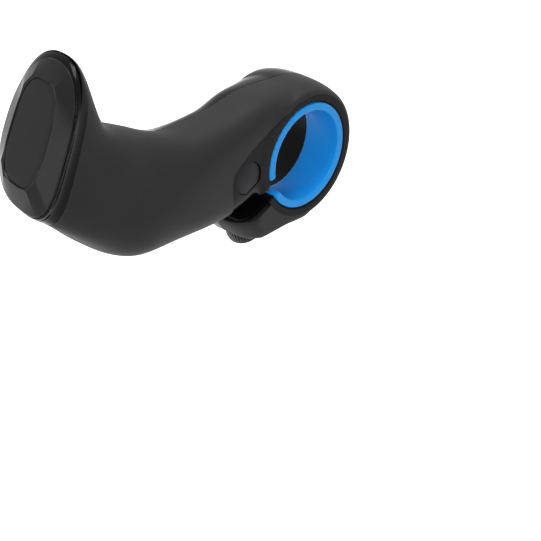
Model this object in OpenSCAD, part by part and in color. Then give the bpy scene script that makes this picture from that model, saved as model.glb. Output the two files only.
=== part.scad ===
// Inner bar end: a thumb horn on a split clamp, right for the left end of a handlebar.
// X runs along the handlebar, +X is the side with the barrel nut; the horn points to -Y; Z is up.
// The origin is on the bar axis, in the middle of the clamp's width.

/* [Bar and sleeve] */
// Diameter of the handlebar that the sleeve grips
bar_d = 22.2; // [21.8:0.1:22.6]
// Wall of the reducer sleeve
sleeve_wall = 1.9; // [1.5:0.1:2.3]
// Length of the sleeve along the bar
sleeve_len = 10; // [8:0.5:12]
// Width of the flange at the sleeve's inner end
flange_w = 1.6; // [1:0.1:2.2]
// How far the flange stands out of the sleeve
flange_h = 0.4; // [0.2:0.1:0.8]
// Angle that the sleeve leaves open at the slit
sleeve_gap_angle = 24; // [18:1:40]

/* [Clamp] */
// Width of the clamp along the bar
clamp_w = 18; // [16:0.5:22]
// Wall of the ring at the middle of its crown
ring_wall = 4.1; // [3.2:0.1:5]
// How much lower the crown is at the near and far edges
crown_drop = 1.4; // [0.6:0.1:2]
// Lean of the bolt and of the slit faces from square
clamp_tilt = 22; // [16:1:26]
// Opening of the slit between arm and jaw
slit_gap = 3.5; // [2.5:0.1:4.5]
// Place of the slit's upper face along the bolt, from the bar axis
slit_top = -1.95; // [-2.6:0.05:-1.2]
// How far the jaw's tip stands past the bolt's axis
jaw_past = 3.5; // [3:0.1:5]
// Thickness of the jaw along the bolt
jaw_thick = 9; // [8:0.1:9.5]
// Depth of the washer's seat in the jaw
seat_depth = 3.6; // [3:0.1:4]

/* [Fasteners] */
// Distance of the bolt's axis from the bore's wall
bolt_off = 5.05; // [4.8:0.05:6]
// Thread diameter of the clamp bolt
bolt_d = 5; // [4:0.5:5]
// Length of the bolt under its head
bolt_len = 20; // [19:1:22]
// Thickness of the washer
washer_t = 1; // [0.8:0.1:1.2]
// Radius of the barrel nut
nut_r = 4; // [3.8:0.1:4.2]
// Distance from the nut's axis to its flat
nut_flat = 3.4; // [3:0.1:3.6]
// Length of the barrel nut
nut_len = 14; // [12:0.5:15]
// Distance from the slit's upper face up to the nut's axis
nut_up = 7.65; // [7:0.05:8]

/* [Horn] */
// Reach of the horn's end from the bar axis
horn_reach = 68.8; // [64:0.2:74]
// Rise of the horn's end above the bar axis
horn_rise = 26.4; // [22:0.2:30]
// How far the horn's end leans to the far side
horn_lean = 11.2; // [8:0.2:13]
// Half width of the horn's end face
end_half_w = 12.3; // [11:0.1:13.5]
// Half height of the horn's end face
end_half_h = 17.8; // [16:0.1:20]

/* [Skin and end] */
// Thickness of the rubber skin on the arm
skin_t = 1.6; // [1.2:0.1:2]
// Thickness of the rubber skin on the ring
ring_skin_t = 1.2; // [1:0.1:1.5]
// Place along the bar where the ring's rubber band ends
band_x = -1; // [-3:0.5:1]
// Height of the end cap's bevel
bevel_h = 2.4; // [1.6:0.1:3]
// Width of the end cap's bevel
bevel_w = 4.9; // [4:0.1:5.5]
// Depth of the cap's plug in the arm
plug_depth = 3; // [2:0.5:4]
// Thickness of the badge plate
badge_t = 1.2; // [1:0.1:1.6]

/* [Hidden] */

// Clearances
slide_fit = 0.05;
loose_fit = 0.25;
glue_fit = 0.1;
eps = 0.01;

// Sizes that follow
half_w = clamp_w / 2;
sleeve_r = bar_d / 2;
bore_r = sleeve_r + sleeve_wall + slide_fit;
crown_r = bore_r + ring_wall;
bolt_reach = bore_r + bolt_off;
jaw_reach = bolt_reach + jaw_past;
edge_r = crown_r - crown_drop;
seat_r = edge_r - ring_skin_t;
rim_t = 1;
rim_r = edge_r - 0.7;
bore_chamfer = 0.5;
side_t = 3;
jaw_skin_t = 1.2;
jaw_tip_r = 1.4;
slit_rim = 1.2;
slit_start = 6;
slit_end = 24.5;
arm_bottom = 36;
nut_sink = 0.3;
groove_w = flange_w + 0.8;
groove_depth = flange_h + 0.2;
lip_t = 1.3;
crown_steps = 12;
corner_steps = 6;
end_points = 64;
cap_line = 0.4;
cap_edge_h = 0.4;
plate_rim = 0.5;
badge_sink = 0.15;
head_chamfer = 0.5;
socket_depth = 2.5;
groove_x = half_w - sleeve_len + flange_w / 2;
bolt_r = bolt_d / 2;
head_r = 0.85 * bolt_d;
head_h = bolt_d;
socket_r = 0.8 * bolt_d / sqrt(3);
nut_s = slit_top - nut_up;
jaw_top = slit_top + slit_gap;
seat_s = jaw_top + jaw_thick - seat_depth;

// Where the horn leaves the clamp, and how far it goes from there
root_y = crown_r + 6.85;
root_z = crown_r - 13.15;
out = horn_reach - root_y;
up = horn_rise - root_z;
function on_horn(lean, reach, rise, w, h, rest) =
    concat([-lean * horn_lean, -root_y - reach * out, root_z + rise * up, w * end_half_w, h * end_half_h], rest);

// Arm stations from the clamp to the cap: centre x, y, z, half width, half height, roundness,
// corner roundness, egg, skew, then yaw, pitch and roll of the section
STATIONS = [
    [0,      -3.5, crown_r - 9.65,  half_w + 0.2,  9.1, 3.2, 3.2, 0, 0, 0, 0, 0],
    [0,       -12, crown_r - 10.25, half_w + 0.3, 11.3, 2.8, 3.5, 0, 0, 0, 0, 0],
    [0.2, -root_y, root_z,          half_w + 0.3, 12.3, 2.5, 2.8, 0, 0, 0, 4, 0],
    on_horn(0.13, 0.31,  0,    0.85, 0.725, [2.4, 2.4, 0,     0,      0, 10,  5]),
    on_horn(0.31, 0.58,  0.11, 0.85, 0.81,  [2.4, 2.6, 0.05,  0.05,   0, 18, 16]),
    on_horn(0.67, 0.78,  0.36, 0.94, 0.82,  [2.5, 3.2, 0.1,   0.15,   0, 20, 18]),
    on_horn(1.09, 0.915, 0.9,  1.02, 1.035, [3.0, 4.2, -0.04, 0.1,  -11, 23,  5])
];
RIM = on_horn(1, 1, 1, 1, 1, [2.6, 3.6, -0.04, 0.1, -13, 24, 5]);
PLATE = [0, 0, 0, RIM[3] - bevel_w - plate_rim, RIM[4] - bevel_w - plate_rim, 2.5, 2.6, -0.04, 0.06];
steps = 5;
ring_points = 40;
cover_points = 30;

function station(i) = STATIONS[max(0, min(len(STATIONS) - 1, i))];
function blend(p, q, r, s, t) =
    0.5 * (2 * q + (r - p) * t + (2 * p - 5 * q + 4 * r - s) * t * t + (3 * q - p - 3 * r + s) * t * t * t);
function along(i, t) = blend(station(i - 1), station(i), station(i + 1), station(i + 2), t);
SPINE = [
    for (i = [0 : len(STATIONS) - 2]) for (k = [0 : steps - 1]) along(i, k / steps),
    STATIONS[len(STATIONS) - 1]
];

// Turning a point of a section into the arm's frame
function rolled(p, a) = [p[0] * cos(a) - p[2] * sin(a), p[1], p[0] * sin(a) + p[2] * cos(a)];
function pitched(p, a) = [p[0], p[1] * cos(a) + p[2] * sin(a), -p[1] * sin(a) + p[2] * cos(a)];
function yawed(p, a) = [p[0] * cos(a) - p[1] * sin(a), p[0] * sin(a) + p[1] * cos(a), p[2]];
function placed(p, s) =
    [s[0], s[1], s[2]] + yawed(pitched(rolled([p[0], 0, p[1]], s[11]), s[10]), s[9]);

// Rounded outline: a superellipse whose lower corner on the near side is squarer
function spow(v, e) = sign(v) * pow(abs(v), e);
function outline(s, a, grow = 0) =
    let (n = (cos(a) > 0 && sin(a) < 0) ? s[6] : s[5])
    let (u = spow(cos(a), 2 / n), v = spow(sin(a), 2 / n))
    [(s[3] + grow) * u * (1 + s[7] * v), (s[4] + grow) * v * (v < 0 ? 1 + s[8] * u : 1)];
function clipped(p) = [min(p[0], half_w), p[1], p[2]];

// Angles of a section: first the stretch under rubber, then the bare stretch on the far side
function cover_from(w) = -92 - 68 * w;
function cover_to(w) = 94 + 36 * w;
function weight(j) = pow(min(1, j / (len(SPINE) - 1)), 1.2);
function angle(j, k) =
    let (w = weight(j), a = cover_from(w), b = cover_to(w))
    k < cover_points ? a + (b - a) * k / (cover_points - 1)
    : b + (a + 360 - b) * (k - cover_points + 1) / (ring_points - cover_points + 1);
function outer_ring(j) = [for (k = [0 : ring_points - 1]) clipped(placed(outline(SPINE[j], angle(j, k)), SPINE[j]))];
function inner_point(j, k) =
    let (p = placed(outline(SPINE[j], angle(j, k), -skin_t), SPINE[j]))
    [min(p[0], half_w - skin_t), p[1], p[2]];
function core_ring(j) = [
    for (k = [0 : ring_points - 1]) k < cover_points ? inner_point(j, k) : outer_ring(j)[k]
];
function rim_ring() = [
    for (k = [0 : ring_points - 1]) placed(outline(RIM, angle(len(SPINE) - 1, k)), RIM)
];
function shell_ring(j) = concat(
    [for (k = [0 : cover_points - 1]) outer_ring(j)[k]],
    [for (k = [cover_points - 1 : -1 : 0]) inner_point(j, k)]
);

// A closed tube through rings of points. A folded ring runs out along one side and back along the other:
// its way back has the quads split to match the way out, and its ends are closed by a strip
module loft(rings, folded = false) {
    n = len(rings[0]);
    m = len(rings);
    points = [for (r = rings) for (p = r) p];
    sides = [
        for (j = [0 : m - 2]) for (k = [0 : n - 1])
            let (a = j * n + k, b = j * n + (k + 1) % n)
            each folded && k >= n / 2 ? [[a, a + n, b + n], [a, b + n, b]] : [[a, a + n, b], [b, a + n, b + n]]
    ];
    first = folded
        ? [for (k = [0 : n / 2 - 2]) each [[k, k + 1, n - 2 - k], [k, n - 2 - k, n - 1 - k]]]
        : [[for (k = [0 : n - 1]) k]];
    last = [for (f = first) [for (i = [len(f) - 1 : -1 : 0]) f[i] + (m - 1) * n]];
    polyhedron(points = points, faces = concat(sides, first, last), convexity = 8);
}

module arm_form() {
    loft(concat([for (j = [0 : len(SPINE) - 1]) outer_ring(j)], [rim_ring()]));
}

module arm_core() {
    last = len(SPINE) - 1;
    loft(concat([for (j = [0 : last]) core_ring(j)], [outer_ring(last), rim_ring()]));
}

module arm_shell() {
    loft([for (j = [0 : len(SPINE) - 1]) shell_ring(j)], true);
}

// Local frames
module on_bar() {
    rotate([90, 0, 90]) children();
}

// x along the bar, y towards the jaw's tip, z down along the bolt
module on_bolt() {
    rotate([180 + clamp_tilt, 0, 0]) children();
}

module on_end(s) {
    translate([s[0], s[1], s[2]]) rotate([0, 0, s[9]]) rotate([-s[10], 0, 0]) rotate([0, -s[11], 0])
        rotate([90, 0, 0]) children();
}

// Outline through corners [x, y, radius], with each corner turned into an arc
function unit(v) = v / norm(v);
function corner(p, q, r) =
    let (v = [q[0], q[1]], a = unit([p[0], p[1]] - v), b = unit([r[0], r[1]] - v), h = acos(a * b) / 2)
    let (c = v + unit(a + b) * q[2] / sin(h), e = q[2] / tan(h), t = 180 - 2 * h)
    let (s0 = v + a * e - c, s1 = v + b * e - c)
    [for (k = [0 : corner_steps]) c + (sin(t - t * k / corner_steps) * s0 + sin(t * k / corner_steps) * s1) / sin(t)];
function rounded(c) = [
    for (i = [0 : len(c) - 1])
        each c[i][2] == 0 ? [[c[i][0], c[i][1]]] : corner(c[(i + len(c) - 1) % len(c)], c[i], c[(i + 1) % len(c)])
];

// Clamp ring: profiles of radius against place along the bar
function crown_at(x) = crown_r - crown_drop * pow(abs(x) / half_w, 3);
function crown(x0, x1) = [for (k = [0 : crown_steps]) let (x = x0 + (x1 - x0) * k / crown_steps) [crown_at(x), x]];

module turned(profile) {
    on_bar() rotate_extrude($fn = 120) polygon(profile);
}

module ring_core() {
    turned(concat(
        [[bore_r, half_w - bore_chamfer], [bore_r, bore_chamfer - half_w], [bore_r + bore_chamfer, -half_w]],
        crown(-half_w, band_x),
        [[seat_r, band_x], [seat_r, half_w - rim_t], [rim_r, half_w - rim_t], [rim_r, half_w],
         [bore_r + bore_chamfer, half_w]]
    ));
}

module ring_band() {
    turned(concat(
        crown(band_x, half_w),
        [[rim_r, half_w], [rim_r, half_w - rim_t], [seat_r, half_w - rim_t], [seat_r, band_x]]
    ));
}

// Jaw: side outline square to the bar, cut to its plan outline
module jaw(inset, x0, x1) {
    intersection() {
        on_bolt() on_bar() translate([0, 0, x0]) linear_extrude(x1 - x0) polygon(rounded([
            [5, jaw_top, 0],
            [jaw_reach - inset, jaw_top, jaw_tip_r],
            [jaw_reach - inset, jaw_top + jaw_thick / 2, 2],
            [jaw_reach - 2.7 - inset / 2, jaw_top + jaw_thick - inset, 2.2],
            [6.4, crown_r - 1.4 - inset, 0],
            [4, bore_r - 1, 0]
        ]));
        on_bolt() linear_extrude(4 * jaw_thick, center = true) polygon(rounded([
            [-half_w, 0, 0],
            [min(half_w, x1), 0, 0],
            [min(half_w, x1), jaw_reach - inset, 1.4],
            [-half_w, jaw_reach - inset, 3.5]
        ]));
        rotate([90, 0, 0]) linear_extrude(2 * jaw_reach, center = true) polygon(concat(
            [[half_w, 0], [-half_w, 0]],
            [for (q = crown(-half_w, half_w)) [q[1], inset - q[0]]]
        ));
    }
}

// Flat side face of the frame, bounded by the skin's edge
module side_prism(depth) {
    on_bar() translate([0, 0, half_w - depth]) linear_extrude(depth + 1) polygon(rounded([
        [2, 14.9, 0],
        [-8, 13.5, 8],
        [-19, 9.2, 12],
        [-25.9, 5, 4],
        [-26, 0.5, 6],
        [-24.6, -7, 0],
        [-10, -7, 0],
        [2, 0, 0]
    ]));
}

// Cuts that the frame and the skin share
module bar_space() {
    mouth_r = bore_r + bore_chamfer + 1;
    turned([
        [0, -half_w - 1], [mouth_r, -half_w - 1], [bore_r, bore_chamfer - half_w],
        [bore_r, half_w - bore_chamfer], [mouth_r, half_w + 1], [0, half_w + 1]
    ]);
}

module slit_space(margin) {
    on_bolt() on_bar() linear_extrude(4 * half_w, center = true) polygon([
        [slit_start, slit_top - margin], [slit_end, slit_top - margin], [slit_end, slit_top],
        [arm_bottom, slit_top], [arm_bottom, jaw_top], [slit_end, jaw_top],
        [slit_end, jaw_top + margin], [slit_start, jaw_top + margin]
    ]);
}

// All that the ring's skin lies on, filled in to the bar axis
module ring_inside() {
    turned([
        [0, -clamp_w], [seat_r, -clamp_w], [seat_r, half_w - rim_t], [rim_r, half_w - rim_t],
        [rim_r, clamp_w], [0, clamp_w]
    ]);
}

module bolt_space() {
    on_bolt() translate([0, bolt_reach, nut_s - nut_r - 1])
        cylinder(r = bolt_r + loose_fit, h = seat_s - nut_s + nut_r + 2, $fn = 48);
    on_bolt() translate([0, bolt_reach, seat_s]) cylinder(r = head_r + 2 * loose_fit, h = 12, $fn = 64);
}

// Barrel nut outline in the bolt's frame, grown for its pocket
module nut_shape(grow, x0, x1) {
    on_bolt() translate([0, bolt_reach, nut_s]) intersection() {
        rotate([0, 90, 0]) translate([0, 0, x0]) cylinder(r = nut_r + grow, h = x1 - x0, $fn = 64);
        translate([x0, -2 * nut_r, -2 * nut_r]) cube([x1 - x0, 4 * nut_r, 2 * nut_r + nut_flat + grow]);
    }
}

module nut_space() {
    nut_shape(glue_fit, half_w - nut_sink - nut_len - glue_fit, half_w + 1);
}

// Outline at the arm's end, by growth from the rim
function end_outline(s, grow) = [for (k = [0 : end_points - 1]) outline(s, 360 * k / end_points, grow)];

// Glass-filled nylon frame: ring, jaw and the arm's core in one moulding
module core_frame() {
    color([0.1, 0.1, 0.11]) difference() {
        union() {
            arm_core();
            intersection() {
                arm_form();
                side_prism(side_t);
            }
            ring_core();
            jaw(0, -half_w, band_x);
            jaw(jaw_skin_t, band_x - eps, half_w - jaw_skin_t);
        }
        bar_space();
        turned_groove();
        slit_space(0);
        bolt_space();
        nut_space();
        on_end(RIM) translate([0, 0, -plug_depth]) linear_extrude(plug_depth + 1)
            polygon(end_outline(RIM, -lip_t));
    }
}

module turned_groove() {
    turned([
        [bore_r - 1, groove_x - groove_w / 2],
        [bore_r + groove_depth, groove_x - groove_w / 2],
        [bore_r + groove_depth, groove_x + groove_w / 2],
        [bore_r - 1, groove_x + groove_w / 2]
    ]);
}

// Soft rubber moulded over the near side of ring, jaw and arm
module rubber_skin() {
    color([0.22, 0.22, 0.22]) difference() {
        union() {
            difference() {
                arm_shell();
                side_prism(side_t);
            }
            difference() {
                union() {
                    ring_band();
                    jaw(0, band_x, half_w);
                }
                arm_core();
                side_prism(side_t);
            }
        }
        ring_inside();
        ring_core();
        jaw(jaw_skin_t, band_x - 1, half_w - jaw_skin_t);
        slit_space(slit_rim);
        bolt_space();
    }
}

// Split sleeve that steps the clamp down to the bar
module reducer_sleeve() {
    wall = sleeve_wall;
    gap_from = 180 + 8;
    color([0.21, 0.55, 0.78]) on_bar() rotate([0, 0, gap_from + sleeve_gap_angle])
        rotate_extrude(angle = 360 - sleeve_gap_angle, $fn = 120) polygon([
            [sleeve_r, half_w],
            [sleeve_r, half_w - sleeve_len],
            [sleeve_r + wall + flange_h, half_w - sleeve_len],
            [sleeve_r + wall + flange_h, half_w - sleeve_len + flange_w],
            [sleeve_r + wall, half_w - sleeve_len + flange_w],
            [sleeve_r + wall, half_w]
        ]);
}

// Barrel nut with a flat, tapped across its middle
module barrel_nut() {
    color([0.25, 0.25, 0.26]) difference() {
        nut_shape(0, half_w - nut_sink - nut_len, half_w - nut_sink);
        on_bolt() translate([0, bolt_reach, nut_s - 2 * nut_r])
            cylinder(r = bolt_r + slide_fit, h = 4 * nut_r, $fn = 48);
    }
}

// Socket head bolt, drawn at its major diameter
module clamp_bolt() {
    under_head = seat_s + washer_t + slide_fit;
    color([0.12, 0.12, 0.13]) on_bolt() translate([0, bolt_reach, under_head]) difference() {
        union() {
            cylinder(r = head_r, h = head_h - head_chamfer, $fn = 64);
            translate([0, 0, head_h - head_chamfer])
                cylinder(r1 = head_r, r2 = head_r - head_chamfer, h = head_chamfer, $fn = 64);
            translate([0, 0, -bolt_len]) cylinder(r = bolt_r, h = bolt_len + 1, $fn = 48);
        }
        translate([0, 0, head_h - socket_depth]) cylinder(r = socket_r, h = socket_depth + 1, $fn = 6);
    }
}

module bolt_washer() {
    color([0.3, 0.3, 0.31]) on_bolt() translate([0, bolt_reach, seat_s]) difference() {
        cylinder(r = head_r + loose_fit / 2, h = washer_t, $fn = 64);
        translate([0, 0, -1]) cylinder(r = bolt_r + 2 * slide_fit, h = washer_t + 2, $fn = 48);
    }
}

// Bevelled cap whose plug sits in the arm's end
module end_cap() {
    color([0.13, 0.13, 0.14]) on_end(RIM) difference() {
        union() {
            translate([0, 0, glue_fit - plug_depth]) linear_extrude(plug_depth)
                polygon(end_outline(RIM, -lip_t - glue_fit));
            loft([
                [for (p = end_outline(RIM, -cap_line)) [p[0], p[1], 0]],
                [for (p = end_outline(RIM, -cap_line)) [p[0], p[1], cap_edge_h]],
                [for (p = end_outline(PLATE, plate_rim)) [p[0], p[1], bevel_h]]
            ]);
        }
        translate([0, 0, bevel_h - badge_t]) linear_extrude(2 * badge_t) polygon(end_outline(PLATE, glue_fit));
    }
}

module badge_plate() {
    color([0.24, 0.24, 0.24]) on_end(RIM) translate([0, 0, bevel_h - badge_t])
        linear_extrude(badge_t - badge_sink) polygon(end_outline(PLATE, 0));
}

core_frame();
rubber_skin();
reducer_sleeve();
barrel_nut();
clamp_bolt();
bolt_washer();
end_cap();
badge_plate();
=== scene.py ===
"""Inner bar end for a flat handlebar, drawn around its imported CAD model.

The row frame is the CAD's: X runs along the handlebar with the barrel nut on +X, the horn points to -Y, and Z
is up. Every size here is in millimetres. A mesh is turned to metres when it is made.
"""

from __future__ import annotations

import logging
from dataclasses import dataclass, field
from enum import Enum

import bmesh
import bpy
import numpy as np
from mathutils import Matrix, Vector


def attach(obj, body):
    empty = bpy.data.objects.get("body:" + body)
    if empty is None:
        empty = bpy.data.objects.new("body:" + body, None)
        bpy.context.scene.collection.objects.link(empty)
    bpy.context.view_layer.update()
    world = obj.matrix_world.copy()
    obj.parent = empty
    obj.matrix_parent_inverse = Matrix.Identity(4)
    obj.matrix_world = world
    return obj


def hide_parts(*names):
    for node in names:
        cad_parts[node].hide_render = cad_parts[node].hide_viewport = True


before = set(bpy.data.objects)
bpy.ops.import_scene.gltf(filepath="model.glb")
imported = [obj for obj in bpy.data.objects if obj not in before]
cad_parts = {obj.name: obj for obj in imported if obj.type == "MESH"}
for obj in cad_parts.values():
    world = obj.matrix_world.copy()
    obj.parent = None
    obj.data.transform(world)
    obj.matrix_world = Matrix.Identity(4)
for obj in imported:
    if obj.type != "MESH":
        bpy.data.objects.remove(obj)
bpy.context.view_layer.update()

LOG = logging.getLogger("bar_end")
Array = np.ndarray
MM = 0.001


class Body(str, Enum):
    """The moving bodies of the CAD model."""

    FRAME = "frame"
    WASHER = "washer"
    BOLT = "bolt"


class Cut(str, Enum):
    """What a tool does to the solid that it meets."""

    TAKE = "DIFFERENCE"
    KEEP = "INTERSECT"
    JOIN = "UNION"


# Numbers and meshes


def smooth_max(a: Array, b: Array, reach: float) -> Array:
    """The larger of two fields, rounded where they are closer than reach.

    Args:
        a: First field.
        b: Second field.
        reach: Width of the rounding, in mm.

    Returns:
        a h + b (1 - h) + reach h (1 - h), with h = 0.5 + (a - b) / (2 reach), kept within 0 to 1.
    """
    h = np.clip(0.5 + 0.5 * (a - b) / reach, 0.0, 1.0)
    return b * (1 - h) + a * h + reach * h * (1 - h)


def smooth_min(a: Array, b: Array, reach: float) -> Array:
    """The smaller of two fields, filleted where they are closer than reach."""
    return -smooth_max(-a, -b, reach)


def unit(v: Array) -> Array:
    """Vectors scaled to length one, along the last axis."""
    return v / np.linalg.norm(v, axis=-1, keepdims=True)


def rounded_corners(corners: list[tuple[float, float, float]], steps: int = 8) -> Array:
    """A closed outline whose corners are arcs.

    Args:
        corners: x, y and radius of each corner, in turning order.
        steps: Pieces that each arc is made of.

    Returns:
        Points in the plane. An arc is the slerp, sin((1 - k) t) a / sin t + sin(k t) b / sin t, between the two
        radii a and b that meet the corner's sides squarely.
    """
    points = []
    for i, (x, y, radius) in enumerate(corners):
        here = np.array([x, y])
        if not radius:
            points.append(here[None])
            continue
        a = unit(np.array(corners[i - 1][:2]) - here)
        b = unit(np.array(corners[(i + 1) % len(corners)][:2]) - here)
        half = np.arccos(a @ b) / 2
        centre = here + unit(a + b) * radius / np.sin(half)
        back = radius / np.tan(half)
        turn = np.pi - 2 * half
        k = np.linspace(0, 1, steps + 1)[:, None]
        arm_a, arm_b = here + a * back - centre, here + b * back - centre
        points.append(centre + (np.sin((1 - k) * turn) * arm_a + np.sin(k * turn) * arm_b) / np.sin(turn))
    return np.vstack(points)


def grid_faces(rows: int, columns: int, round_rows: bool, round_columns: bool) -> Array:
    """Quads of a grid of points, joined round along either direction where asked."""
    i = np.arange(rows if round_rows else rows - 1)[:, None]
    j = np.arange(columns if round_columns else columns - 1)[None, :]
    ni, nj = (i + 1) % rows, (j + 1) % columns
    return np.stack([i * columns + j, ni * columns + j, ni * columns + nj, i * columns + nj], -1).reshape(-1, 4)


@dataclass
class Surface:
    """Points in mm with faces of three or four corners."""

    points: Array
    faces: list[Array]

    @classmethod
    def tube(cls, rings: Array) -> "Surface":
        """A closed solid from rings of points, each end closed by a fan about its ring's mean."""
        rows, columns = rings.shape[:2]
        count = rows * columns
        points = np.vstack([rings.reshape(-1, 3), rings[0].mean(0), rings[-1].mean(0)])
        j = np.arange(columns)
        nj = (j + 1) % columns
        last = (rows - 1) * columns
        return cls(
            points,
            [
                grid_faces(rows, columns, False, True),
                np.stack([np.full(columns, count), j, nj], -1),
                np.stack([last + j, np.full(columns, count + 1), last + nj], -1),
            ],
        ).outward()

    @classmethod
    def folded_tube(cls, rings: Array) -> "Surface":
        """A closed strip-shaped solid: each ring runs out and back, and the ends are closed across it."""
        rows, columns = rings.shape[:2]
        k = np.arange(columns // 2 - 1)
        strip = np.stack([k, k + 1, columns - 2 - k, columns - 1 - k], -1)
        return cls(
            rings.reshape(-1, 3),
            [grid_faces(rows, columns, False, True), strip, strip[:, ::-1] + (rows - 1) * columns],
        ).outward()

    @classmethod
    def loop(cls, rings: Array) -> "Surface":
        """A closed solid from rings that meet again: the last ring joins the first."""
        rows, columns = rings.shape[:2]
        return cls(rings.reshape(-1, 3), [grid_faces(rows, columns, True, True)]).outward()

    def outward(self) -> "Surface":
        """The same surface with its faces turned outwards: the sum of a . (b x c) is its volume's sign."""
        volume = 0.0
        for quads in self.faces:
            for m in range(1, quads.shape[1] - 1):
                a, b, c = (self.points[quads[:, n]] for n in (0, m, m + 1))
                volume += np.einsum("ij,ij->", a, np.cross(b, c))
        if volume < 0:
            self.faces = [quads[:, ::-1] for quads in self.faces]
        return self

    def moved(self, place: Array) -> "Surface":
        """The surface after a 4 x 4 transform."""
        self.points = self.points @ place[:3, :3].T + place[:3, 3]
        return self.outward()

    def mesh(self, name: str) -> bpy.types.Object:
        """The surface as an object at the origin, still in millimetres."""
        mesh = bpy.data.meshes.new(name)
        mesh.vertices.add(len(self.points))
        mesh.vertices.foreach_set("co", self.points.astype(np.float32).ravel())
        totals = np.concatenate([np.full(len(f), f.shape[1]) for f in self.faces])
        mesh.loops.add(int(totals.sum()))
        mesh.loops.foreach_set("vertex_index", np.concatenate([f.ravel() for f in self.faces]).astype(np.int32))
        mesh.polygons.add(len(totals))
        mesh.polygons.foreach_set("loop_start", (np.cumsum(totals) - totals).astype(np.int32))
        mesh.update(calc_edges=True)
        mesh.validate()
        piece = bpy.data.objects.new(name, mesh)
        bpy.context.scene.collection.objects.link(piece)
        return piece


def on_bar(u: Array, v: Array, x: Array | float) -> Array:
    """Points of a side view (u along +Y, v along +Z) at a place along the bar."""
    return np.stack([np.broadcast_to(x, np.shape(u)), u, v], -1)


def turned_about_bar(profile: Array, count: int = 180, start: float = 0.0, angle: float = 360.0) -> Array:
    """Rings of (radius, x) profile points turned about the bar: (x, r cos a, r sin a) for each angle a."""
    full = angle == 360.0
    a = np.radians(start + np.linspace(0, angle, count, endpoint=not full))[:, None]
    return on_bar(profile[None, :, 0] * np.cos(a), profile[None, :, 0] * np.sin(a), profile[None, :, 1])


def disc_rings(profile: Array, count: int = 96) -> Array:
    """Rings about +Z for (radius, z) profile points: (r cos a, r sin a, z)."""
    a = np.linspace(0, 2 * np.pi, count, endpoint=False)[None, :]
    r, z = profile[:, :1], profile[:, 1:]
    return np.stack([r * np.cos(a), r * np.sin(a), np.broadcast_to(z, (len(profile), count))], -1)


def prism(outline: Array, low: float, high: float, across: bool = False) -> Surface:
    """An outline carried along an axis.

    Args:
        outline: Points of the outline. A side view (y, z), or a plan (x, y) where across is True.
        low: Where it starts, along X, or along Z where across is True.
        high: Where it ends.
        across: Carry it along Z instead of X.

    Returns:
        The closed prism.
    """
    rings = []
    for at in (low, high):
        flat = np.full(len(outline), float(at))
        rings.append(np.stack([outline[:, 0], outline[:, 1], flat] if across else [flat, *outline.T], -1))
    return Surface.tube(np.array(rings))


def applied(piece: bpy.types.Object) -> bpy.types.Object:
    """The piece with its modifiers turned into mesh."""
    graph = bpy.context.evaluated_depsgraph_get()
    mesh = bpy.data.meshes.new_from_object(piece.evaluated_get(graph))
    piece.modifiers.clear()
    piece.data = mesh
    return piece


def finished(piece: bpy.types.Object, sharp: float = 38.0) -> bpy.types.Object:
    """Turns a piece to metres and shades it smooth, creased where faces meet at more than sharp degrees."""
    applied(piece)
    piece.data.transform(Matrix.Scale(MM, 4))
    piece.data.shade_smooth()
    piece.data.set_sharp_from_angle(angle=np.radians(sharp))
    return piece


def mended(piece: bpy.types.Object) -> bpy.types.Object:
    """Merges points closer than a micrometre, and closes what pinholes that leaves."""
    work = bmesh.new()
    work.from_mesh(piece.data)
    bmesh.ops.remove_doubles(work, verts=work.verts, dist=0.001)
    bmesh.ops.dissolve_degenerate(work, edges=work.edges, dist=0.0005)
    bmesh.ops.holes_fill(work, edges=[edge for edge in work.edges if edge.is_boundary], sides=0)
    work.to_mesh(piece.data)
    work.free()
    return piece


def carve(piece: bpy.types.Object, tool: bpy.types.Object | Surface, how: Cut = Cut.TAKE) -> bpy.types.Object:
    """Cuts or joins a closed piece by a closed tool, and throws the tool away."""
    if isinstance(tool, Surface):
        tool = tool.mesh("tool")
    work = piece.modifiers.new("carve", "BOOLEAN")
    work.operation = how.value
    work.solver = "MANIFOLD"
    work.object = tool
    applied(piece)
    bpy.data.objects.remove(tool)
    return piece


def copied(piece: bpy.types.Object, name: str) -> bpy.types.Object:
    """A second object with its own copy of the mesh."""
    twin = piece.copy()
    twin.data = piece.data.copy()
    twin.name = name
    bpy.context.scene.collection.objects.link(twin)
    return twin


# Sizes shared with the CAD


@dataclass(frozen=True)
class ClampSizes:
    """Sizes of the clamp, the sleeve and the bolt, in mm and degrees, as in the CAD."""

    half_width: float = 9.0
    sleeve_radius: float = 11.1
    sleeve_wall: float = 1.9
    sleeve_length: float = 10.0
    flange_width: float = 1.6
    flange_height: float = 0.4
    bore_radius: float = 13.05
    crown_radius: float = 17.15
    crown_drop: float = 1.4
    rim_radius: float = 15.05
    seat_radius: float = 14.55
    band_x: float = -1.0
    tilt: float = 22.0
    slit_top: float = -1.95
    slit_gap: float = 3.5
    bolt_reach: float = 18.1
    jaw_reach: float = 24.0
    jaw_thick: float = 9.0
    seat_depth: float = 3.6
    nut_up: float = 7.65

    @property
    def jaw_top(self) -> float:
        """Upper face of the jaw, along the bolt."""
        return self.slit_top + self.slit_gap

    @property
    def seat(self) -> float:
        """Seat of the washer, along the bolt."""
        return self.jaw_top + self.jaw_thick - self.seat_depth

    @property
    def nut_place(self) -> float:
        """Axis of the barrel nut, along the bolt."""
        return self.slit_top - self.nut_up

    def bolt_frame(self) -> Array:
        """The bolt's axes: x along the bar, t towards the jaw's tip, s down the bolt towards its head."""
        return np.array(Matrix.Rotation(np.radians(180 + self.tilt), 4, "X"))

    def at_bolt(self) -> Array:
        """The bolt's axes moved onto the bolt."""
        place = self.bolt_frame()
        place[:3, 3] = place[:3, 1] * self.bolt_reach
        return place


SIZES = ClampSizes()


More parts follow.
